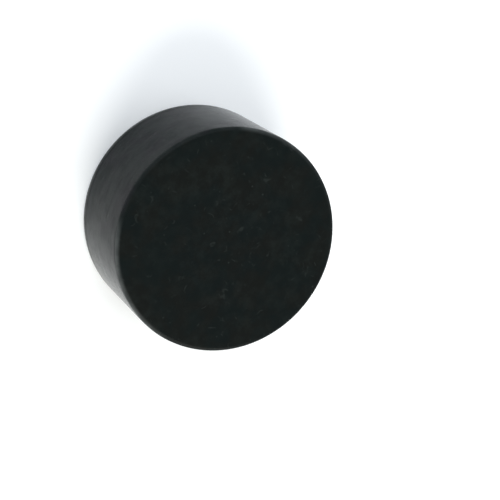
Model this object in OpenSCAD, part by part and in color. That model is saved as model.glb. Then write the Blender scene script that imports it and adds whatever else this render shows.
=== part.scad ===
// Round rubber foot, moulded in one piece, that snaps over the head of a countersunk wood screw.
// Origin: centre of the mounting face. +Z runs along the axis, from the mounting face to the tread face.

/* [Foot] */
// Outside diameter of the foot
foot_d = 40; // [30:1:80]
// Height from the mounting face to the tread face
foot_h = 20; // [16:0.5:40]
// Radius of the rounded rim at the tread face
tread_rim_r = 0.8; // [0.4:0.1:3]
// Radius of the rounded rim at the mounting face
mount_rim_r = 0.4; // [0.2:0.1:3]

/* [Screw that it fits] */
// Diameter of the countersunk head
head_d = 11.2; // [9:0.1:13.5]
// Angle across the cone of the countersunk head
head_angle = 90; // [84:1:100]
// Diameter of the plain shank behind the head
shank_d = 4.8; // [3.5:0.1:6]

/* [Socket] */
// Room between the rubber neck and the shank
shank_gap = 0.35; // [0.1:0.05:0.6]
// Room between the rubber and the edge of the head
head_gap = 0.2; // [0.1:0.1:0.4]
// Depth from the mounting face to the end of the neck
neck_depth = 6; // [3:0.5:7.5]
// Depth of the straight wall around the edge of the head
edge_depth = 1.5; // [0.5:0.1:1.5]
// Chamfer at the mouth that leads the head in
mouth_chamfer = 0.5; // [0.2:0.1:1]

/* [Hidden] */

$fn = 96;
foot_r = foot_d / 2;
neck_r = shank_d / 2 + shank_gap;
chamber_r = head_d / 2 + head_gap;
// Height of the cone that the underside of the head seats on
seat_depth = (chamber_r - neck_r) / tan(head_angle / 2);
socket_depth = neck_depth + seat_depth + edge_depth;
// How far a cut runs past the face that it opens in
overcut = 1;

// Half section of the solid foot, with both rims rounded
module foot_section() {
    mount_flat_r = foot_r - mount_rim_r;
    tread_flat_r = foot_r - tread_rim_r;
    tread_rim_z = foot_h - tread_rim_r;
    polygon([
        [0, 0], [mount_flat_r, 0], [mount_flat_r, mount_rim_r], [foot_r, mount_rim_r],
        [foot_r, tread_rim_z], [tread_flat_r, tread_rim_z], [tread_flat_r, foot_h], [0, foot_h]
    ]);
    translate([mount_flat_r, mount_rim_r]) circle(r = mount_rim_r);
    translate([tread_flat_r, tread_rim_z]) circle(r = tread_rim_r);
}

// Half section of the blind socket: chamfered mouth, neck, seat under the head and chamber for it
module socket_section() {
    mouth_r = neck_r + mouth_chamfer;
    polygon([
        [0, -overcut], [mouth_r, -overcut], [mouth_r, 0], [neck_r, mouth_chamfer],
        [neck_r, neck_depth], [chamber_r, neck_depth + seat_depth],
        [chamber_r, socket_depth], [0, socket_depth]
    ]);
}

// The whole foot, turned from its half section
module rubber_foot() {
    color("#1d2221")
        rotate_extrude()
            difference() {
                foot_section();
                socket_section();
            }
}

rubber_foot();
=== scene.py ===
"""Looks of a moulded rubber foot: its skin, its finish and the studio that it lies in.

The foot is one turned block of black rubber. Its visible skin is built by Geometry Nodes round the
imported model's own box: a lathe turns the half section, two caps close it, and a second tree gives it
what moulding and handling leave. Everything is in metres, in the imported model's frame: the origin is
the centre of the mounting face, and +Z runs to the tread face.
"""

import logging
import math
from dataclasses import dataclass, field
from enum import Enum
from typing import Any, Sequence

import bpy
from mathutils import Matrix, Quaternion, Vector


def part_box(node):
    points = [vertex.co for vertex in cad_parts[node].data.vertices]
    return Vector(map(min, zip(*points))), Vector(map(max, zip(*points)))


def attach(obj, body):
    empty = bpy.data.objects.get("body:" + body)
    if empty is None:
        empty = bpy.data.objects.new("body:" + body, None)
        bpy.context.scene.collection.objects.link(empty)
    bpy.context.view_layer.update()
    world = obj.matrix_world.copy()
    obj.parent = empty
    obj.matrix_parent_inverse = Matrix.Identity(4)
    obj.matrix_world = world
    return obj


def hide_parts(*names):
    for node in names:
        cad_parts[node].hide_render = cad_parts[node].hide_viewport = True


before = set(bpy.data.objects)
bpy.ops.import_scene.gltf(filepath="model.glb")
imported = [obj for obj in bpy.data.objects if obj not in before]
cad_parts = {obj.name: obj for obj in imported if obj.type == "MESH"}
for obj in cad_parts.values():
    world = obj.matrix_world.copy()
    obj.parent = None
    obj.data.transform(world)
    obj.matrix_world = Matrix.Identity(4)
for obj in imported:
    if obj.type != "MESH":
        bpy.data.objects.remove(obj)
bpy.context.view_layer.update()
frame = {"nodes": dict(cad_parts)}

LOG = logging.getLogger("rubber_foot")
MM = 0.001
CORNER_ANGLE = math.radians(32.0)

Colour = tuple[float, float, float, float]
Station = tuple[float, float]
Wire = Any


class Facing(Enum):
    """Which way a flat end of the foot looks."""

    UP = "up"
    DOWN = "down"


class NodeWriter:
    """Adds nodes to one tree and wires them in the same breath."""

    def __init__(self, tree: bpy.types.NodeTree) -> None:
        """Starts on a tree.

        Args:
            tree: the shader or geometry tree that the nodes go into.
        """
        self.tree = tree

    def add(self, kind: str, wires: dict[Any, Wire] | None = None, **settings: Any) -> bpy.types.Node:
        """Adds one node.

        Args:
            kind: the node's type name.
            wires: what feeds each input, by the input's name or number.
            **settings: properties set on the node before it is wired.

        Returns:
            The new node.
        """
        node = self.tree.nodes.new(kind)
        for name, value in settings.items():
            setattr(node, name, value)
        for name, source in (wires or {}).items():
            self.feed(node.inputs[name], source)
        return node

    def feed(self, socket: bpy.types.NodeSocket, source: Wire) -> None:
        """Links a socket to another one, or sets its value.

        Args:
            socket: the input.
            source: an output socket, or a plain value.
        """
        if isinstance(source, bpy.types.NodeSocket):
            self.tree.links.new(source, socket)
        else:
            socket.default_value = source

    def math(self, operation: str, *values: Wire) -> bpy.types.NodeSocket:
        """Works out one number from others.

        Args:
            operation: the Math node's operation.
            *values: its inputs in order.

        Returns:
            The result's socket.
        """
        wires = dict(enumerate(values))
        return self.add("ShaderNodeMath", wires, operation=operation).outputs[0]

    def vector(self, operation: str, *values: Wire, result: str = "Vector") -> bpy.types.NodeSocket:
        """Works out one vector, or a number from vectors.

        Args:
            operation: the Vector Math node's operation.
            *values: its inputs in order.
            result: the output to return.

        Returns:
            The result's socket.
        """
        node = self.add("ShaderNodeVectorMath", operation=operation)
        for socket, value in zip(node.inputs, values):
            self.feed(socket, value)
        return node.outputs[result]

    def scaled(self, vector: Wire, factor: Wire) -> bpy.types.NodeSocket:
        """Returns a vector times a number."""
        node = self.add("ShaderNodeVectorMath", {0: vector, "Scale": factor}, operation="SCALE")
        return node.outputs[0]

    def split(self, vector: Wire) -> tuple[bpy.types.NodeSocket, ...]:
        """Returns a vector's three parts."""
        return tuple(self.add("ShaderNodeSeparateXYZ", {0: vector}).outputs)

    def joined(self, x: Wire, y: Wire, z: Wire) -> bpy.types.NodeSocket:
        """Returns the vector with these three parts."""
        return self.add("ShaderNodeCombineXYZ", {0: x, 1: y, 2: z}).outputs[0]

    def ramp(self, value: Wire, low: Wire, high: Wire, start: Wire = 0.0, end: Wire = 1.0) -> Wire:
        """Eases a number from start to end while it goes from low to high.

        Args:
            value: the number.
            low: where the result is start.
            high: where the result is end.
            start: the result at low.
            end: the result at high.

        Returns:
            The eased number's socket.
        """
        wires = {"Value": value, "From Min": low, "From Max": high, "To Min": start, "To Max": end}
        return self.add("ShaderNodeMapRange", wires, interpolation_type="SMOOTHSTEP").outputs[0]

    def noise(self, where: Wire, scale: Wire, detail: float = 2.0, roughness: float = 0.5) -> Wire:
        """Makes soft noise from 0 to 1, about 0.5 on average.

        Args:
            where: the coordinates that it is read at.
            scale: waves to the metre.
            detail: how many finer layers there are.
            roughness: how strong the finer layers are.

        Returns:
            The noise's socket.
        """
        wires = {"Vector": where, "Scale": scale, "Detail": detail, "Roughness": roughness}
        return self.add("ShaderNodeTexNoise", wires).outputs[0]


@dataclass
class GeometryTree:
    """A Geometry Nodes tree with named inputs, which finishes one mesh and leaves it plain.

    Attributes:
        name: the tree's name.
        tree: the tree itself.
        pen: what writes its nodes.
        source: the node that gives its inputs.
    """

    name: str
    tree: bpy.types.NodeTree = field(init=False)
    pen: NodeWriter = field(init=False)
    source: bpy.types.Node = field(init=False)

    def __post_init__(self) -> None:
        """Makes the empty tree with its geometry sockets."""
        self.tree = bpy.data.node_groups.new(self.name, "GeometryNodeTree")
        self.tree.interface.new_socket("Geometry", in_out="INPUT", socket_type="NodeSocketGeometry")
        self.tree.interface.new_socket("Geometry", in_out="OUTPUT", socket_type="NodeSocketGeometry")
        self.pen = NodeWriter(self.tree)
        self.source = self.pen.add("NodeGroupInput")

    def input(self, name: str, kind: str, default: Any = None) -> bpy.types.NodeSocket:
        """Adds one named input.

        Args:
            name: the input's name.
            kind: Float, Int, Vector or Material.
            default: its value where a modifier sets none.

        Returns:
            The socket that the nodes read it from.
        """
        made = self.tree.interface.new_socket(name, in_out="INPUT", socket_type=f"NodeSocket{kind}")
        if default is not None:
            made.default_value = default
        return self.source.outputs[name]

    def finish(self, geometry: Wire, material: Wire) -> None:
        """Ends the tree in Realize Instances and Set Material.

        Args:
            geometry: what the nodes made.
            material: the material's socket.
        """
        real = self.pen.add("GeometryNodeRealizeInstances", {"Geometry": geometry})
        dressed = self.pen.add("GeometryNodeSetMaterial", {0: real.outputs[0], "Material": material})
        self.pen.add("NodeGroupOutput", {0: dressed.outputs[0]})

    def identifiers(self) -> dict[str, str]:
        """Returns each input's identifier by its name."""
        items = self.tree.interface.items_tree
        return {item.name: item.identifier for item in items if item.in_out == "INPUT"}

    def apply(self, piece: bpy.types.Object, values: dict[str, Any]) -> None:
        """Runs the tree on a piece and keeps the result as its plain mesh.

        Args:
            piece: the object whose mesh goes in and is replaced.
            values: each input's value by name.
        """
        modifier = piece.modifiers.new(self.name, "NODES")
        modifier.node_group = self.tree
        known = self.identifiers()
        for name, value in values.items():
            modifier[known[name]] = value
        seen = bpy.context.evaluated_depsgraph_get()
        made = bpy.data.meshes.new_from_object(piece.evaluated_get(seen), depsgraph=seen)
        piece.modifiers.remove(modifier)
        piece.data = made


@dataclass
class FootSection:
    """The foot's half section, as radius and height from the mounting face.

    Attributes:
        outer_r: outside radius.
        height: height of the tread face.
        tread_rim_r: rounding at the tread face.
        mount_rim_r: rounding at the mounting face.
        neck_r: radius of the socket's neck.
        chamber_r: radius of the chamber for the screw's head.
        neck_depth: depth to the end of the neck.
        edge_depth: depth of the straight wall past the seat.
        mouth_chamfer: chamfer at the socket's mouth.
        fine_step: the widest spacing of stations on the wall.
        coarse_step: the widest spacing of stations where little shows.
        rim_steps: how many steps each rounded rim has.
    """

    outer_r: float
    height: float
    tread_rim_r: float = 0.8 * MM
    mount_rim_r: float = 0.4 * MM
    neck_r: float = 2.75 * MM
    chamber_r: float = 5.8 * MM
    neck_depth: float = 6.0 * MM
    edge_depth: float = 1.5 * MM
    mouth_chamfer: float = 0.5 * MM
    fine_step: float = 0.3 * MM
    coarse_step: float = 0.8 * MM
    rim_steps: int = 9

    @property
    def tread_flat_r(self) -> float:
        """Radius of the flat of the tread face."""
        return self.outer_r - self.tread_rim_r

    @property
    def seat_end(self) -> float:
        """Depth at which the seat meets the chamber's wall."""
        return self.neck_depth + self.chamber_r - self.neck_r

    @property
    def socket_depth(self) -> float:
        """Depth of the whole socket."""
        return self.seat_end + self.edge_depth

    def line(self, start: Station, end: Station, step: float) -> list[Station]:
        """Spaces stations evenly along a straight stretch.

        Args:
            start: where it starts, which is left out.
            end: where it ends.
            step: the widest spacing.

        Returns:
            The stations after the first.
        """
        count = max(1, math.ceil(math.dist(start, end) / step))
        shares = [(i + 1) / count for i in range(count)]
        return [tuple(a + (b - a) * t for a, b in zip(start, end)) for t in shares]

    def arc(self, centre: Station, radius: float, start_deg: float, end_deg: float) -> list[Station]:
        """Spaces stations along a rounded rim.

        Args:
            centre: the rounding's centre.
            radius: its radius.
            start_deg: the angle that it starts from, which is left out.
            end_deg: the angle that it ends at.

        Returns:
            The stations after the first.
        """
        turn = math.radians(end_deg - start_deg) / self.rim_steps
        angles = [math.radians(start_deg) + turn * (i + 1) for i in range(self.rim_steps)]
        return [(centre[0] + radius * math.cos(a), centre[1] + radius * math.sin(a)) for a in angles]

    def stations(self) -> list[Station]:
        """Lists the section from the flat of the tread face to the socket's end.

        Returns:
            The stations in order.
        """
        rim, foot = self.tread_rim_r, self.mount_rim_r
        path = [(self.tread_flat_r, self.height)]
        path += self.arc((self.tread_flat_r, self.height - rim), rim, 90.0, 0.0)
        path += self.line(path[-1], (self.outer_r, foot), self.fine_step)
        path += self.arc((self.outer_r - foot, foot), foot, 0.0, -90.0)
        path += self.line(path[-1], (self.neck_r + self.mouth_chamfer, 0.0), self.coarse_step)
        path += self.line(path[-1], (self.neck_r, self.mouth_chamfer), self.fine_step)
        path += self.line(path[-1], (self.neck_r, self.neck_depth), self.coarse_step)
        path += self.line(path[-1], (self.chamber_r, self.seat_end), self.coarse_step)
        path += self.line(path[-1], (self.chamber_r, self.socket_depth), self.coarse_step)
        return path

    def mesh(self) -> bpy.types.Mesh:
        """Makes the section a chain of edges in the XZ plane.

        Returns:
            The mesh.
        """
        path = self.stations()
        made = bpy.data.meshes.new("half_section")
        made.from_pydata([(r, 0.0, z) for r, z in path], [(i, i + 1) for i in range(len(path) - 1)], [])
        return made


class Lathe(GeometryTree):
    """Turns a half section into a closed skin, with an even mesh on both flat ends."""

    def __init__(self) -> None:
        """Writes the tree."""
        super().__init__("foot_lathe")
        pen = self.pen
        cells = self.input("Cells Across A Cap", "Int", 100)
        tread_r = self.input("Tread Flat Radius", "Float")
        height = self.input("Height", "Float")
        chamber_r = self.input("Chamber Radius", "Float")
        socket_depth = self.input("Socket Depth", "Float")
        join = self.input("Join Distance", "Float", 0.5e-6)
        material = self.input("Material", "Material")
        section = self.source.outputs["Geometry"]
        around = pen.math("MULTIPLY", cells, 4.0)
        parts = [
            self.turned(section, around),
            self.cap(cells, tread_r, height, Facing.UP),
            self.cap(cells, chamber_r, socket_depth, Facing.DOWN),
        ]
        joined = pen.add("GeometryNodeJoinGeometry")
        for part in parts:
            self.tree.links.new(part, joined.inputs[0])
        wires = {"Geometry": joined.outputs[0], "Distance": join}
        closed = pen.add("GeometryNodeMergeByDistance", wires)
        self.finish(closed.outputs[0], material)

    def grid(self, across: Wire, along: Wire) -> tuple[Wire, Wire, Wire]:
        """Makes a unit grid.

        Args:
            across: how many cells it has along X.
            along: how many cells it has along Y.

        Returns:
            The mesh, and its X and Y from 0 to 1.
        """
        pen = self.pen
        wires = {
            "Size X": 1.0,
            "Size Y": 1.0,
            "Vertices X": pen.math("ADD", across, 1.0),
            "Vertices Y": pen.math("ADD", along, 1.0),
        }
        made = pen.add("GeometryNodeMeshGrid", wires)
        x, y, _ = pen.split(pen.add("GeometryNodeInputPosition").outputs[0])
        return made.outputs["Mesh"], pen.math("ADD", x, 0.5), pen.math("ADD", y, 0.5)

    def placed(self, mesh: Wire, x: Wire, y: Wire, z: Wire) -> Wire:
        """Returns the mesh with its points at these places."""
        wires = {"Geometry": mesh, "Position": self.pen.joined(x, y, z)}
        return self.pen.add("GeometryNodeSetPosition", wires).outputs[0]

    def turned(self, section: Wire, around: Wire) -> Wire:
        """Turns the section round Z.

        Args:
            section: the section's edges, in order.
            around: how many cells there are round the axis.

        Returns:
            The turned mesh.
        """
        pen = self.pen
        size = pen.add("GeometryNodeAttributeDomainSize", {"Geometry": section}, component="MESH")
        last = pen.math("SUBTRACT", size.outputs["Point Count"], 1.0)
        mesh, turn, along = self.grid(around, last)
        index = pen.math("ROUND", pen.math("MULTIPLY", along, last))
        where = pen.add("GeometryNodeInputPosition").outputs[0]
        station = pen.add("GeometryNodeSampleIndex", data_type="FLOAT_VECTOR", domain="POINT")
        pen.feed(station.inputs["Geometry"], section)
        pen.feed(station.inputs["Value"], where)
        pen.feed(station.inputs["Index"], index)
        radius, _, z = pen.split(station.outputs[0])
        angle = pen.math("MULTIPLY", turn, math.tau)
        x = pen.math("MULTIPLY", radius, pen.math("COSINE", angle))
        y = pen.math("MULTIPLY", radius, pen.math("SINE", angle))
        flipped = pen.add("GeometryNodeFlipFaces", {0: self.placed(mesh, x, y, z)})
        return flipped.outputs[0]

    def cap(self, cells: Wire, radius: Wire, z: Wire, facing: Facing) -> Wire:
        """Makes a disc of even cells, whose rim has four times as many points as a side has cells.

        Each square ring of a grid becomes a round one with the same number of points.

        Args:
            cells: how many cells it has across.
            radius: the disc's radius.
            z: its height.
            facing: which way it looks.

        Returns:
            The disc.
        """
        pen = self.pen
        mesh, x, y = self.grid(cells, cells)
        a = pen.math("MULTIPLY_ADD", x, 2.0, -1.0)
        b = pen.math("MULTIPLY_ADD", y, 2.0, -1.0)
        size_a, size_b = pen.math("ABSOLUTE", a), pen.math("ABSOLUTE", b)
        ring = pen.math("MAXIMUM", size_a, size_b)
        tiny = 1e-9
        # On each side of the square, the angle off that side's middle grows with the way along it.
        mostly_b = pen.math("GREATER_THAN", size_b, size_a)
        share = pen.math("DIVIDE", pen.math("MINIMUM", size_a, size_b), pen.math("MAXIMUM", ring, tiny))
        lean = pen.math("MULTIPLY", share, math.pi / 4.0)
        long_part = pen.math("COSINE", lean)
        short_part = pen.math("SINE", lean)
        part_a = self.chosen(mostly_b, long_part, short_part)
        part_b = self.chosen(mostly_b, short_part, long_part)
        reach = pen.math("MULTIPLY", ring, radius)
        px = pen.math("MULTIPLY", pen.math("MULTIPLY", part_a, pen.math("SIGN", a)), reach)
        py = pen.math("MULTIPLY", pen.math("MULTIPLY", part_b, pen.math("SIGN", b)), reach)
        disc = self.placed(mesh, px, py, z)
        if facing is Facing.DOWN:
            disc = pen.add("GeometryNodeFlipFaces", {0: disc}).outputs[0]
        return disc

    def chosen(self, share: Wire, first: Wire, second: Wire) -> Wire:
        """Returns first where share is 0 and second where it is 1."""
        pen = self.pen
        return pen.math("MULTIPLY_ADD", pen.math("SUBTRACT", second, first), share, first)


class MouldedSkin(GeometryTree):
    """Gives the turned skin what moulding and handling leave, always inwards from the true form.

    Attributes:
        clear_of_base: the heights between which the marks set in above the mounting face.
        sink_scale: waves of the sink marks to the metre.
        drag_scale: waves of the drag lines to the metre, along the axis.
        drag_stretch: how the drag lines are drawn out round the wall.
        rim_reach: how far the rim's wear reaches, in rim radii.
        wander_scale: waves of the rim's wander to the metre.
        wear_scale: waves of the rim's wear to the metre.
        wear_facing: how squarely a point faces the worn side where its wear starts and where it is full.
        wear_gain: what makes up for the wear's noise, which is about half on average.
    """

    clear_of_base: tuple[float, float] = (0.2 * MM, 1.5 * MM)
    sink_scale: float = 170.0
    drag_scale: float = 700.0
    drag_stretch: tuple[float, float, float] = (0.06, 0.06, 1.0)
    rim_reach: float = 2.2
    wander_scale: float = 110.0
    wear_scale: float = 420.0
    wear_facing: tuple[float, float] = (0.82, 0.96)
    wear_gain: float = 1.6

    def __init__(self) -> None:
        """Writes the tree."""
        super().__init__("moulded_skin")
        self.outer_r = self.input("Outer Radius", "Float")
        self.height = self.input("Height", "Float")
        self.rim_r = self.input("Tread Rim Radius", "Float")
        self.seed = self.input("Seed", "Int", 7)
        sink = self.input("Sink Depth", "Float", 0.03 * MM)
        drag = self.input("Drag Line Depth", "Float", 0.01 * MM)
        wander = self.input("Rim Wander", "Float", 0.04 * MM)
        wear = self.input("Rim Wear", "Float", 0.06 * MM)
        self.worn_side = self.input("Worn Side", "Vector")
        pits = self.input("Pit Density", "Float", 9000.0)
        pit_r = self.input("Pit Radius", "Float", 0.55 * MM)
        pit_depth = self.input("Pit Depth", "Float", 0.06 * MM)
        material = self.input("Material", "Material")
        skin = self.source.outputs["Geometry"]

        pen = self.pen
        self.where = pen.add("GeometryNodeInputPosition").outputs[0]
        x, y, self.z = pen.split(self.where)
        self.radius = pen.vector("LENGTH", pen.joined(x, y, 0.0), result="Value")
        near_tread = self.near(self.z, self.height, self.rim_r)
        near_wall = self.near(self.radius, self.outer_r, self.rim_r)
        set_in = pen.ramp(self.z, *self.clear_of_base)
        outside = pen.math("MULTIPLY", pen.math("MAXIMUM", near_tread, near_wall), set_in)

        depth = pen.math("MULTIPLY", pen.noise(self.where, self.sink_scale, 3.0), sink)
        depth = pen.math("ADD", depth, self.drag_lines(drag))
        depth = pen.math("ADD", depth, self.worn_rim(wander, wear))
        depth = pen.math("ADD", depth, self.pitting(skin, pits, pit_r, pit_depth))
        depth = pen.math("MULTIPLY", depth, outside)
        normal = pen.add("GeometryNodeInputNormal").outputs[0]
        inward = pen.scaled(normal, pen.math("MULTIPLY", depth, -1.0))
        moved = pen.add("GeometryNodeSetPosition", {"Geometry": skin, "Offset": inward})
        self.finish(self.shaded(moved.outputs[0]), material)

    def near(self, value: Wire, target: Wire, width: Wire) -> Wire:
        """Returns 1 where a number is at its target, falling to 0 at a width below it."""
        low = self.pen.math("SUBTRACT", target, width)
        return self.pen.ramp(value, low, target)

    def drag_lines(self, depth: Wire) -> Wire:
        """Returns the depth of the faint lines round the wall, left as it slid out of its mould.

        Args:
            depth: the deepest line's depth.

        Returns:
            The depth's socket.
        """
        pen = self.pen
        stretched = pen.vector("MULTIPLY", self.where, self.drag_stretch)
        lines = pen.noise(stretched, self.drag_scale, 1.0)
        on_wall = self.near(self.radius, self.outer_r, 0.2 * MM)
        return pen.math("MULTIPLY", pen.math("MULTIPLY", lines, depth), on_wall)

    def worn_rim(self, wander: Wire, wear: Wire) -> Wire:
        """Returns how much further the tread rim is rounded, a little everywhere and more on one side.

        Args:
            wander: the most that it varies all round.
            wear: the most that it is worn on the worn side.

        Returns:
            The depth's socket.
        """
        pen = self.pen
        reach = pen.math("MULTIPLY", self.rim_r, self.rim_reach)
        across = self.near(self.z, self.height, reach)
        at_rim = pen.math("MULTIPLY", across, self.near(self.radius, self.outer_r, reach))
        rolled = pen.math("MULTIPLY", pen.noise(self.where, self.wander_scale), wander)
        way = pen.vector("NORMALIZE", pen.vector("MULTIPLY", self.where, (1.0, 1.0, 0.0)))
        facing = pen.vector("DOT_PRODUCT", way, self.worn_side, result="Value")
        uneven = pen.noise(self.where, self.wear_scale)
        patch = pen.math("MULTIPLY", pen.ramp(facing, *self.wear_facing), uneven)
        worn = pen.math("MULTIPLY", pen.math("MULTIPLY", patch, self.wear_gain), wear)
        return pen.math("MULTIPLY", pen.math("ADD", rolled, worn), at_rim)

    def pitting(self, skin: Wire, density: Wire, radius: Wire, depth: Wire) -> Wire:
        """Returns the depth of shallow pits scattered over the skin, most of them small.

        Args:
            skin: the mesh that they are scattered on.
            density: how many there are to the square metre.
            radius: the largest one's radius.
            depth: the largest one's depth.

        Returns:
            The depth's socket.
        """
        pen = self.pen
        wires = {"Mesh": skin, "Density": density, "Seed": self.seed}
        marks = pen.add("GeometryNodeDistributePointsOnFaces", wires, distribute_method="RANDOM")
        points = marks.outputs["Points"]
        gap = pen.add("GeometryNodeProximity", {0: points}, target_element="POINTS")
        nearest = pen.add("GeometryNodeSampleNearest", {0: points}, domain="POINT")
        wires = {"ID": nearest.outputs[0], "Seed": self.seed}
        luck = pen.add("FunctionNodeRandomValue", wires, data_type="FLOAT")
        size = pen.math("POWER", luck.outputs[1], 2.5)
        reach = pen.math("MULTIPLY", pen.math("MULTIPLY_ADD", size, 0.75, 0.25), radius)
        bowl = pen.ramp(gap.outputs["Distance"], 0.0, reach, 1.0, 0.0)
        deepness = pen.math("MULTIPLY_ADD", size, 0.7, 0.3)
        return pen.math("MULTIPLY", pen.math("MULTIPLY", bowl, deepness), depth)

    def shaded(self, skin: Wire) -> Wire:
        """Returns the skin shaded smooth, with its true corners kept sharp.

        Args:
            skin: the mesh.

        Returns:
            The shaded mesh.
        """
        pen = self.pen
        smooth = pen.add("GeometryNodeSetShadeSmooth", {"Geometry": skin, "Shade Smooth": True})
        angle = pen.add("GeometryNodeInputMeshEdgeAngle").outputs["Unsigned Angle"]
        wires = {0: angle, 1: CORNER_ANGLE}
        corner = pen.add("FunctionNodeCompare", wires, operation="GREATER_THAN")
        wires = {"Geometry": smooth.outputs[0], "Selection": corner.outputs[0], "Shade Smooth": False}
        return pen.add("GeometryNodeSetShadeSmooth", wires, domain="EDGE").outputs[0]


@dataclass(frozen=True)
class WornHighlitPatch:
    """One stretch of the tread rim with a painted highlight: a paler colour for the light that its
    rounding catches.

    Attributes:
        azimuth_deg: where its middle is, from +X towards +Y.
        half_angle_deg: how far it reaches to each side.
        strength: how strong its painted highlight is, from 0 to 1.
    """

    azimuth_deg: float
    half_angle_deg: float
    strength: float

    @property
    def way(self) -> tuple[float, float, float]:
        """Returns the way from the axis to its middle."""
        azimuth = math.radians(self.azimuth_deg)
        return math.cos(azimuth), math.sin(azimuth), 0.0

    @property
    def fade(self) -> tuple[float, float]:
        """Returns the cosines at its end and half way to it."""
        half = math.radians(self.half_angle_deg)
        return math.cos(half), math.cos(half / 2.0)


@dataclass(frozen=True)
class Pattern:
    """Soft noise of one kind, and what it is turned into.

    Attributes:
        scale: waves to the metre.
        detail: how many finer layers it has.
        roughness: how strong the finer layers are.
        low: the noise at which the pattern is at its start.
        high: the noise at which it is at its end.
        start: its value at the start.
        end: its value at the end.
    """

    scale: float
    detail: float
    roughness: float
    low: float
    high: float
    start: float = 0.0
    end: float = 1.0

    def read(self, pen: NodeWriter, where: Wire) -> Wire:
        """Returns the pattern's value at these coordinates."""
        noise = pen.noise(where, self.scale, self.detail, self.roughness)
        return pen.ramp(noise, self.low, self.high, self.start, self.end)


class SkinZones:
    """Where each point of the skin lies, as sockets that the finish reads.

    Attributes:
        pen: what writes the nodes.
        section: the foot's half section.
        where: the point itself.
        z: its height.
        radius: its distance from the axis.
        on_wall: 1 on the wall, and 0 on the faces.
        wall_edge: how far inside the outside radius the wall's finish starts and is full.
        base_edge: the heights between which the painted highlight on the base rim fades out.
        line_edge: how far off the mould's line it starts to fade and is gone.
        stretch: how the streaks are drawn out round the wall.
    """

    wall_edge: tuple[float, float] = (0.6 * MM, 0.1 * MM)
    base_edge: tuple[float, float] = (0.7 * MM, 1.25 * MM)
    line_edge: tuple[float, float] = (0.1 * MM, 0.45 * MM)
    stretch: tuple[float, float, float] = (0.12, 0.12, 1.0)

    def __init__(self, pen: NodeWriter, section: FootSection) -> None:
        """Writes the nodes that read a point's place.

        Args:
            pen: what writes the nodes.
            section: the foot's half section.
        """
        self.pen = pen
        self.section = section
        self.where = pen.add("ShaderNodeTexCoord").outputs["Object"]
        x, y, self.z = pen.split(self.where)
        self.radius = pen.vector("LENGTH", pen.joined(x, y, 0.0), result="Value")
        start, full = (section.outer_r - inset for inset in self.wall_edge)
        self.on_wall = pen.ramp(self.radius, start, full)

    def drawn_out(self) -> Wire:
        """Returns coordinates in which noise is drawn out round the wall."""
        return self.pen.vector("MULTIPLY", self.where, self.stretch)

    def over_rim(self, fade: float) -> Wire:
        """Returns a share that is highest at the wall's end of the tread rim and 0 on the face.

        Args:
            fade: how far up the rim from the wall the share reaches its full value.

        Returns:
            The share's socket.
        """
        section = self.section
        rim_start = section.height - section.tread_rim_r
        outwards = self.pen.ramp(self.radius, section.tread_flat_r, section.outer_r)
        upwards = self.pen.ramp(self.z, rim_start - 0.1 * MM, rim_start + fade)
        return self.pen.math("MULTIPLY", outwards, upwards)

    def at_base(self, strength: float) -> Wire:
        """Returns this strength along the rim of the mounting face, and 0 elsewhere."""
        low = self.pen.ramp(self.z, *self.base_edge, strength, 0.0)
        return self.pen.math("MULTIPLY", low, self.on_wall)

    def shaded_shut_line(self, height: float) -> Wire:
        """Finds the thin line where the mould shuts, which the finish paints dark as the shade of a
        small groove.

        Args:
            height: its height on the wall.

        Returns:
            A share that is 1 along the line, and 0 off it.
        """
        off_line = self.pen.math("ABSOLUTE", self.pen.math("SUBTRACT", self.z, height))
        line = self.pen.ramp(off_line, *self.line_edge, 1.0, 0.0)
        return self.pen.math("MULTIPLY", line, self.on_wall)


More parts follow.
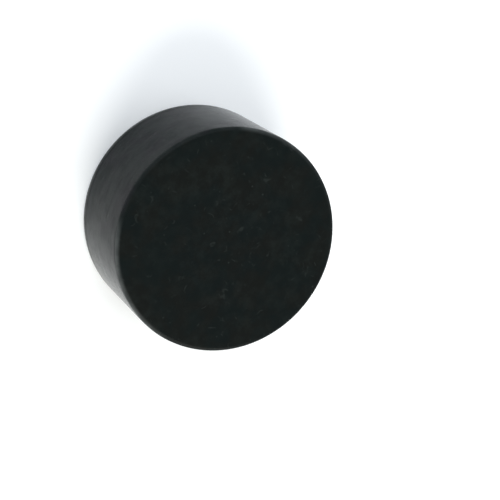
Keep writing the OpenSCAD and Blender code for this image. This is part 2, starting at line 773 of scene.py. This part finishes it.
@dataclass(frozen=True)
class RubberFinish:
    """Black moulded rubber: matte and faintly mottled, smeared on its wall, with painted shade that
    darkens the wall and the mould's line, and painted highlights that make its rims paler.

    Attributes:
        black: the rubber's own colour.
        brown: the colour that it drifts towards here and there.
        bloom: the colour of its dull bloom.
        scuff: the colour of rubbed and scratched places.
        side: the colour of the wall, darker and bluer than the faces; its darkness is painted shade on
            the wall.
        side_warm: the colour that the wall drifts towards here and there.
        rim_highlight: the pale colour of the painted highlights on the rims, standing in for the light
            that their rounding catches.
        roughness: the sheen's softness.
        specular: the sheen's strength.
        dust: how much fine dust lightens the skin at a glancing view.
        dust_roughness: how far from a glancing view that still shows.
        grain_depth: how deep the moulded grain is.
        shut_height: height of the line where the mould shuts.
        base_highlight: how strong the painted highlight along the rim of the mounting face is.
        least_highlight: how strong the painted highlight on the tread rim is outside its highlit
            stretches.
        highlight_fade: how far up the tread rim the painted highlight reaches its full strength.
        dull_fade: how far up the tread rim the sheen is at its dullest.
        wall_share: how much of the wall's darker colour, which paints shade on the wall, shows on it.
        bloom_share: how much of the bloom's colour shows where it is thickest.
        line_shade: how dark the painted shade along the mould's line is, standing in for the shade of a
            small groove there.
        line_dull: how far the mould's line dulls the sheen.
        rim_dull: how far the tread rim's wear dulls the sheen.
        wall_marks: how strong specks and scuffs are on the wall.
        cloud: the bloom's fine mottling on the faces.
        patches: where the cloud is thick and thin.
        drift: where the faces are brown.
        wall_drift: where the wall is warm.
        streak: the bloom's streaks round the wall.
        smear: how the sheen comes and goes on the wall.
        uneven: how the painted highlights on the rims come and go.
    """

    black: Colour = (0.0048, 0.0069, 0.0068, 1.0)
    brown: Colour = (0.0060, 0.0068, 0.0062, 1.0)
    bloom: Colour = (0.0105, 0.0134, 0.0124, 1.0)
    scuff: Colour = (0.0140, 0.0170, 0.0158, 1.0)
    side: Colour = (0.0030, 0.0056, 0.0058, 1.0)
    side_warm: Colour = (0.0052, 0.0052, 0.0074, 1.0)
    rim_highlight: Colour = (0.090, 0.096, 0.094, 1.0)
    roughness: float = 0.22
    specular: float = 0.030
    dust: float = 0.30
    dust_roughness: float = 0.2
    grain_depth: float = 0.008 * MM
    shut_height: float = 1.6 * MM
    base_highlight: float = 0.65
    least_highlight: float = 0.12
    highlight_fade: float = 0.15 * MM
    dull_fade: float = 0.45 * MM
    wall_share: float = 0.9
    bloom_share: float = 0.6
    line_shade: float = 0.6
    line_dull: float = 0.35
    rim_dull: float = 0.7
    wall_marks: float = 0.35
    cloud: Pattern = Pattern(460.0, 6.0, 0.68, 0.38, 0.72)
    patches: Pattern = Pattern(95.0, 2.0, 0.5, 0.32, 0.66, 0.25, 1.0)
    drift: Pattern = Pattern(190.0, 3.0, 0.6, 0.38, 0.62)
    wall_drift: Pattern = Pattern(230.0, 3.0, 0.6, 0.46, 0.62)
    streak: Pattern = Pattern(900.0, 4.0, 0.6, 0.35, 0.7)
    smear: Pattern = Pattern(330.0, 4.0, 0.65, 0.38, 0.62, 0.79, 1.07)
    uneven: Pattern = Pattern(330.0, 3.0, 0.6, 0.35, 0.65, 0.6, 1.0)

    def material(self, section: FootSection, worn: Sequence[WornHighlitPatch]) -> bpy.types.Material:
        """Builds the material.

        Args:
            section: the foot's half section, which says where its wall and rims are.
            worn: the stretches of the tread rim with painted highlights.

        Returns:
            The material.
        """
        made = bpy.data.materials.new("black_rubber")
        made.use_nodes = True
        made.node_tree.nodes.clear()
        pen = NodeWriter(made.node_tree)
        zones = SkinZones(pen, section)
        streak = self.streak.read(pen, zones.drawn_out())
        shaded_shut_line = zones.shaded_shut_line(self.shut_height)
        haze = self.haze(zones, streak)
        marks = self.marks(zones)

        rough = pen.math("MULTIPLY_ADD", haze, 0.06, self.roughness)
        rough = pen.math("MULTIPLY_ADD", marks, 0.15, rough)
        shader = pen.add("ShaderNodeBsdfPrincipled")
        pen.feed(shader.inputs["Base Color"], self.tone(zones, worn, haze, marks, shaded_shut_line))
        pen.feed(shader.inputs["Roughness"], rough)
        pen.feed(shader.inputs["Specular IOR Level"], self.sheen(zones, streak, shaded_shut_line))
        pen.feed(shader.inputs["Sheen Weight"], self.dust)
        pen.feed(shader.inputs["Sheen Roughness"], self.dust_roughness)
        pen.feed(shader.inputs["Normal"], self.grain(zones, marks))
        pen.add("ShaderNodeOutputMaterial", {"Surface": shader.outputs[0]})
        return made

    def haze(self, zones: SkinZones, streak: Wire) -> Wire:
        """Returns how thick the bloom is: clouds on the faces, streaks on the wall.

        Args:
            zones: where each point lies.
            streak: the streaks round the wall.

        Returns:
            The share's socket, from 0 to 1.
        """
        pen = zones.pen
        cloud = self.cloud.read(pen, zones.where)
        on_face = pen.math("MULTIPLY", cloud, self.patches.read(pen, zones.where))
        return self.mixed(pen, zones.on_wall, on_face, pen.math("MULTIPLY", streak, 0.5))

    def marks(self, zones: SkinZones) -> Wire:
        """Returns where specks and scuffs are, fainter on the wall.

        Args:
            zones: where each point lies.

        Returns:
            The share's socket, from 0 to 1.
        """
        pen = zones.pen
        found = pen.math("MAXIMUM", self.specks(zones), self.scuffs(zones))
        return pen.math("MULTIPLY", found, pen.ramp(zones.on_wall, 0.0, 1.0, 1.0, self.wall_marks))

    def tone(
        self, zones: SkinZones, worn: Sequence[WornHighlitPatch], haze: Wire, marks: Wire, shaded_shut_line: Wire
    ) -> Wire:
        """Lays the colours over each other, with painted shade on the wall and along the mould's line,
        and painted highlights on the rims.

        Args:
            zones: where each point lies.
            worn: the stretches of the tread rim with painted highlights.
            haze: how thick the bloom is.
            marks: where specks and scuffs are.
            shaded_shut_line: where the line of the mould is, painted dark as the shade of a small
                groove.

        Returns:
            The colour's socket.
        """
        pen = zones.pen
        face = self.blended(pen, self.drift.read(pen, zones.where), self.black, self.brown)
        # Painted shade: the wall takes a darker copy of the rubber's colour than the faces.
        wall = self.blended(pen, self.wall_drift.read(pen, zones.where), self.side, self.side_warm)
        tone = self.blended(pen, pen.math("MULTIPLY", zones.on_wall, self.wall_share), face, wall)
        tone = self.blended(pen, pen.math("MULTIPLY", haze, self.bloom_share), tone, self.bloom)
        tone = self.blended(pen, marks, tone, self.scuff)
        # Painted highlights: the rims are turned paler where their rounding would catch light.
        tone = self.blended(pen, self.painted_rim_highlights(zones, worn), tone, self.rim_highlight)
        # Painted shade: the mould's line is darkened towards black, for the shade of a small groove
        # there.
        return self.blended(pen, pen.math("MULTIPLY", shaded_shut_line, self.line_shade), tone, self.black)

    def sheen(self, zones: SkinZones, streak: Wire, shaded_shut_line: Wire) -> Wire:
        """Returns the sheen's strength: smeared on the wall, dulled on the tread rim and the shut line.

        Args:
            zones: where each point lies.
            streak: the streaks round the wall.
            shaded_shut_line: where the line of the mould is.

        Returns:
            The strength's socket.
        """
        pen = zones.pen
        smear = self.smear.read(pen, zones.where)
        smear = pen.math("MULTIPLY", smear, pen.math("MULTIPLY_ADD", streak, 0.20, 0.88))
        dulled = pen.math("MULTIPLY", zones.over_rim(self.dull_fade), self.rim_dull)
        dulled = pen.math("MAXIMUM", dulled, pen.math("MULTIPLY", shaded_shut_line, self.line_dull))
        gloss = self.mixed(pen, zones.on_wall, 1.0, smear)
        gloss = pen.math("MULTIPLY", gloss, pen.math("SUBTRACT", 1.0, dulled))
        return pen.math("MULTIPLY", gloss, self.specular)

    def grain(self, zones: SkinZones, marks: Wire) -> Wire:
        """Returns the normal of the moulded grain, with the marks pressed into it.

        Args:
            zones: where each point lies.
            marks: where specks and scuffs are.

        Returns:
            The normal's socket.
        """
        pen = zones.pen
        fine = pen.noise(zones.where, 5200.0, 2.0, 0.6)
        relief = pen.math("MULTIPLY_ADD", pen.noise(zones.where, 900.0, 3.0, 0.5), 1.2, fine)
        relief = pen.math("MULTIPLY_ADD", marks, -1.0, relief)
        wires = {"Height": relief, "Distance": self.grain_depth, "Strength": 1.0}
        return pen.add("ShaderNodeBump", wires).outputs[0]

    def painted_rim_highlights(self, zones: SkinZones, worn: Sequence[WornHighlitPatch]) -> Wire:
        """Returns how strong the painted highlights on the rims are: a pale colour for the light that
        their rounding catches, strongest on the highlit stretches of the tread rim.

        Args:
            zones: where each point lies.
            worn: the stretches of the tread rim with the strongest painted highlights.

        Returns:
            The share's socket, from 0 to 1.
        """
        pen = zones.pen
        way = pen.vector("NORMALIZE", pen.vector("MULTIPLY", zones.where, (1.0, 1.0, 0.0)))
        # Painted highlight on the tread rim: at least this strength all round, more on the highlit
        # stretches.
        wear = self.least_highlight
        for patch in worn:
            facing = pen.vector("DOT_PRODUCT", way, patch.way, result="Value")
            end, middle = patch.fade
            wear = pen.math("MAXIMUM", pen.ramp(facing, end, middle, 0.0, patch.strength), wear)
        tread_highlight = pen.math("MULTIPLY", zones.over_rim(self.highlight_fade), wear)
        # The painted highlight along the mounting rim joins the tread rim's, whichever is stronger.
        rubbed = pen.math("MAXIMUM", tread_highlight, zones.at_base(self.base_highlight))
        return pen.math("MULTIPLY", rubbed, self.uneven.read(pen, zones.where))

    def specks(self, zones: SkinZones) -> Wire:
        """Scatters pale specks of a few tenths of a millimetre.

        Args:
            zones: where each point lies.

        Returns:
            A share that is 1 on a speck, and 0 off it.
        """
        pen = zones.pen
        cell = pen.add("ShaderNodeTexVoronoi", {"Vector": zones.where, "Scale": 700.0}, feature="F1")
        spot = pen.ramp(cell.outputs["Distance"], 0.06, 0.17, 1.0, 0.0)
        luck, _, _ = pen.split(cell.outputs["Color"])
        return pen.math("MULTIPLY", spot, pen.ramp(luck, 0.80, 0.97))

    def scuffs(self, zones: SkinZones) -> Wire:
        """Returns the strength of short curved scuffs.

        Each is a stretch of a line along which soft noise is at its mean.

        Args:
            zones: where each point lies.

        Returns:
            The strength's socket, from 0 to 0.8.
        """
        pen = zones.pen
        found = 0.0
        for turn, scale in ((0.4, 260.0), (1.9, 340.0)):
            wires = {"Vector": zones.where, "Rotation": (0.3, 0.2, turn)}
            turned = pen.add("ShaderNodeMapping", wires).outputs[0]
            off_mean = pen.math("ABSOLUTE", pen.math("SUBTRACT", pen.noise(turned, scale, 1.0), 0.5))
            line = pen.ramp(off_mean, 0.0, 0.026, 0.8, 0.0)
            gate = pen.ramp(pen.noise(turned, 560.0, 3.0), 0.56, 0.72)
            found = pen.math("MAXIMUM", pen.math("MULTIPLY", line, gate), found)
        return found

    @staticmethod
    def mixed(pen: NodeWriter, share: Wire, first: Wire, second: Wire) -> Wire:
        """Returns a number that goes from first to second with a share from 0 to 1."""
        return pen.math("MULTIPLY_ADD", pen.math("SUBTRACT", second, first), share, first)

    @staticmethod
    def blended(pen: NodeWriter, share: Wire, first: Wire, second: Wire) -> Wire:
        """Returns a colour that goes from first to second with a share from 0 to 1.

        Args:
            pen: what writes the nodes.
            share: the share of the second colour.
            first: the colour at 0.
            second: the colour at 1.

        Returns:
            The colour's socket.
        """
        node = pen.add("ShaderNodeMix", data_type="RGBA")
        pen.feed(node.inputs[0], share)
        pen.feed(node.inputs[6], first)
        pen.feed(node.inputs[7], second)
        return node.outputs[2]


@dataclass
class RubberFoot:
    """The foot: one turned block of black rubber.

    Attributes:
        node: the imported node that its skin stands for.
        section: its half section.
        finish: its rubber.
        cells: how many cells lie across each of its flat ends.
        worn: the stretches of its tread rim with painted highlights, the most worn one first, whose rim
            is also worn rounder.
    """

    node: str
    section: FootSection
    finish: RubberFinish = field(default_factory=RubberFinish)
    cells: int = 100
    worn: tuple[WornHighlitPatch, ...] = (
        WornHighlitPatch(azimuth_deg=330.0, half_angle_deg=42.0, strength=0.9),
        WornHighlitPatch(azimuth_deg=192.0, half_angle_deg=28.0, strength=0.5),
    )

    def build(self) -> bpy.types.Object:
        """Builds the skin and dresses it.

        Returns:
            The finished piece, at the origin.
        """
        section = self.section
        material = self.finish.material(section, self.worn)
        piece = bpy.data.objects.new("foot_skin", section.mesh())
        bpy.context.scene.collection.objects.link(piece)
        lathe_sizes = {
            "Cells Across A Cap": self.cells,
            "Tread Flat Radius": section.tread_flat_r,
            "Height": section.height,
            "Chamber Radius": section.chamber_r,
            "Socket Depth": section.socket_depth,
            "Material": material,
        }
        Lathe().apply(piece, lathe_sizes)
        skin_sizes = {
            "Outer Radius": section.outer_r,
            "Height": section.height,
            "Tread Rim Radius": section.tread_rim_r,
            "Worn Side": self.worn[0].way,
            "Material": material,
        }
        MouldedSkin().apply(piece, skin_sizes)
        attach(piece, "root")
        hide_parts(self.node)
        return piece


@dataclass(frozen=True)
class Softbox:
    """One large soft lamp that faces the foot.

    Attributes:
        name: the lamp's name.
        azimuth_deg: where it stands, from +X towards +Y.
        elevation_deg: how high it stands.
        reach: how far away it is.
        size: how wide it is.
        power: its power in watts.
        tint: its colour.
    """

    name: str
    azimuth_deg: float
    elevation_deg: float
    reach: float
    size: float
    power: float
    tint: tuple[float, float, float] = (1.0, 1.0, 1.0)

    def place(self, target: Vector) -> None:
        """Adds the lamp.

        Args:
            target: the point that it faces.
        """
        data = bpy.data.lights.new(self.name, "AREA")
        data.shape = "DISK"
        data.size = self.size
        data.energy = self.power
        data.color = self.tint
        lamp = bpy.data.objects.new(self.name, data)
        around, up = math.radians(self.azimuth_deg), math.radians(self.elevation_deg)
        out = Vector((math.cos(around) * math.cos(up), math.sin(around) * math.cos(up), math.sin(up)))
        lamp.location = target + out * self.reach
        lamp.rotation_euler = (-out).to_track_quat("-Z", "Y").to_euler()
        bpy.context.scene.collection.objects.link(lamp)


@dataclass(frozen=True)
class Viewpoint:
    """Where the camera stands and how it is held.

    Attributes:
        elevation_deg: how high the camera is, seen from the middle of the foot.
        reach: how far it is from there.
        aim: how far beside the middle of the foot the lens points, along X and Y.
        roll_deg: how far the camera is turned about its own line of sight.
        lens_mm: the lens, for a sensor 36 mm wide.
    """

    elevation_deg: float = 64.3
    reach: float = 265.7 * MM
    aim: tuple[float, float] = (-1.26 * MM, 9.5 * MM)
    roll_deg: float = 127.1
    lens_mm: float = 108.0

    def place(self, middle: Vector) -> bpy.types.Object:
        """Adds the camera.

        Args:
            middle: the middle of the foot.

        Returns:
            The camera.
        """
        data = bpy.data.cameras.new("camera")
        data.lens = self.lens_mm
        data.sensor_width = 36.0
        data.clip_start = 0.01
        data.clip_end = 10.0
        camera = bpy.data.objects.new("camera", data)
        up = math.radians(self.elevation_deg)
        camera.location = middle + Vector((0.0, -math.cos(up), math.sin(up))) * self.reach
        sight = middle + Vector((self.aim[0], self.aim[1], 0.0)) - camera.location
        roll = Quaternion((0.0, 0.0, 1.0), math.radians(self.roll_deg))
        camera.rotation_mode = "QUATERNION"
        camera.rotation_quaternion = sight.to_track_quat("-Z", "Y") @ roll
        bpy.context.scene.collection.objects.link(camera)
        bpy.context.scene.camera = camera
        return camera


@dataclass
class Studio:
    """The pale floor, the even surround and the soft lamps.

    Attributes:
        floor_half: half the floor's width.
        floor_tone: the floor's colour.
        surround: the strength of the even light from all round.
        surround_tint: the colour of that light.
        lamps: the soft lamps, the strongest one first.
    """

    floor_half: float = 1.5
    floor_tone: Colour = (0.95, 0.95, 0.95, 1.0)
    surround: float = 0.53
    surround_tint: Colour = (0.93, 0.97, 1.0, 1.0)
    lamps: tuple[Softbox, ...] = (
        Softbox("key", 38.0, 35.0, 1.1, 1.1, 15.5, (1.0, 1.0, 0.95)),
        Softbox("back", 225.0, 35.0, 1.1, 1.1, 8.4, (0.90, 0.95, 1.0)),
        Softbox("side", 135.0, 35.0, 1.1, 1.1, 5.0, (0.92, 0.96, 1.0)),
    )

    def build(self, target: Vector) -> None:
        """Builds the studio.

        Args:
            target: the point that its lamps face.
        """
        self.lay_floor()
        self.light_surround()
        for lamp in self.lamps:
            lamp.place(target)
        bpy.context.scene.view_settings.view_transform = "Standard"

    def lay_floor(self) -> None:
        """Lays the floor just under the foot."""
        half = self.floor_half
        drop = -0.02 * MM
        corners = [(-half, -half, drop), (half, -half, drop), (half, half, drop), (-half, half, drop)]
        mesh = bpy.data.meshes.new("floor")
        mesh.from_pydata(corners, [], [(0, 1, 2, 3)])
        floor = bpy.data.objects.new("floor", mesh)
        made = bpy.data.materials.new("pale_floor")
        made.use_nodes = True
        shader = made.node_tree.nodes["Principled BSDF"]
        shader.inputs["Base Color"].default_value = self.floor_tone
        shader.inputs["Roughness"].default_value = 0.9
        shader.inputs["Specular IOR Level"].default_value = 0.0
        mesh.materials.append(made)
        bpy.context.scene.collection.objects.link(floor)

    def light_surround(self) -> None:
        """Gives the world an even pale light."""
        world = bpy.data.worlds.new("surround")
        world.use_nodes = True
        sky = world.node_tree.nodes["Background"]
        sky.inputs["Color"].default_value = self.surround_tint
        sky.inputs["Strength"].default_value = self.surround
        bpy.context.scene.world = world


def main() -> None:
    """Builds the foot, then the camera and the studio round it."""
    logging.basicConfig(level=logging.INFO, format="%(name)s: %(message)s")
    node = next(iter(frame["nodes"]))
    low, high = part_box(node)
    outer_r = min(-low.x, high.x, -low.y, high.y)
    foot = RubberFoot(node, FootSection(outer_r=outer_r, height=high.z - low.z))
    piece = foot.build()
    LOG.info("%s: %d points, %d faces", piece.name, len(piece.data.vertices), len(piece.data.polygons))
    middle = (low + high) / 2.0
    camera = Viewpoint().place(middle)
    LOG.info("%s: %.0f mm lens", camera.name, camera.data.lens)
    studio = Studio()
    studio.build(middle)
    LOG.info("studio: %d lamps", len(studio.lamps))


if __name__ == "__main__":
    main()
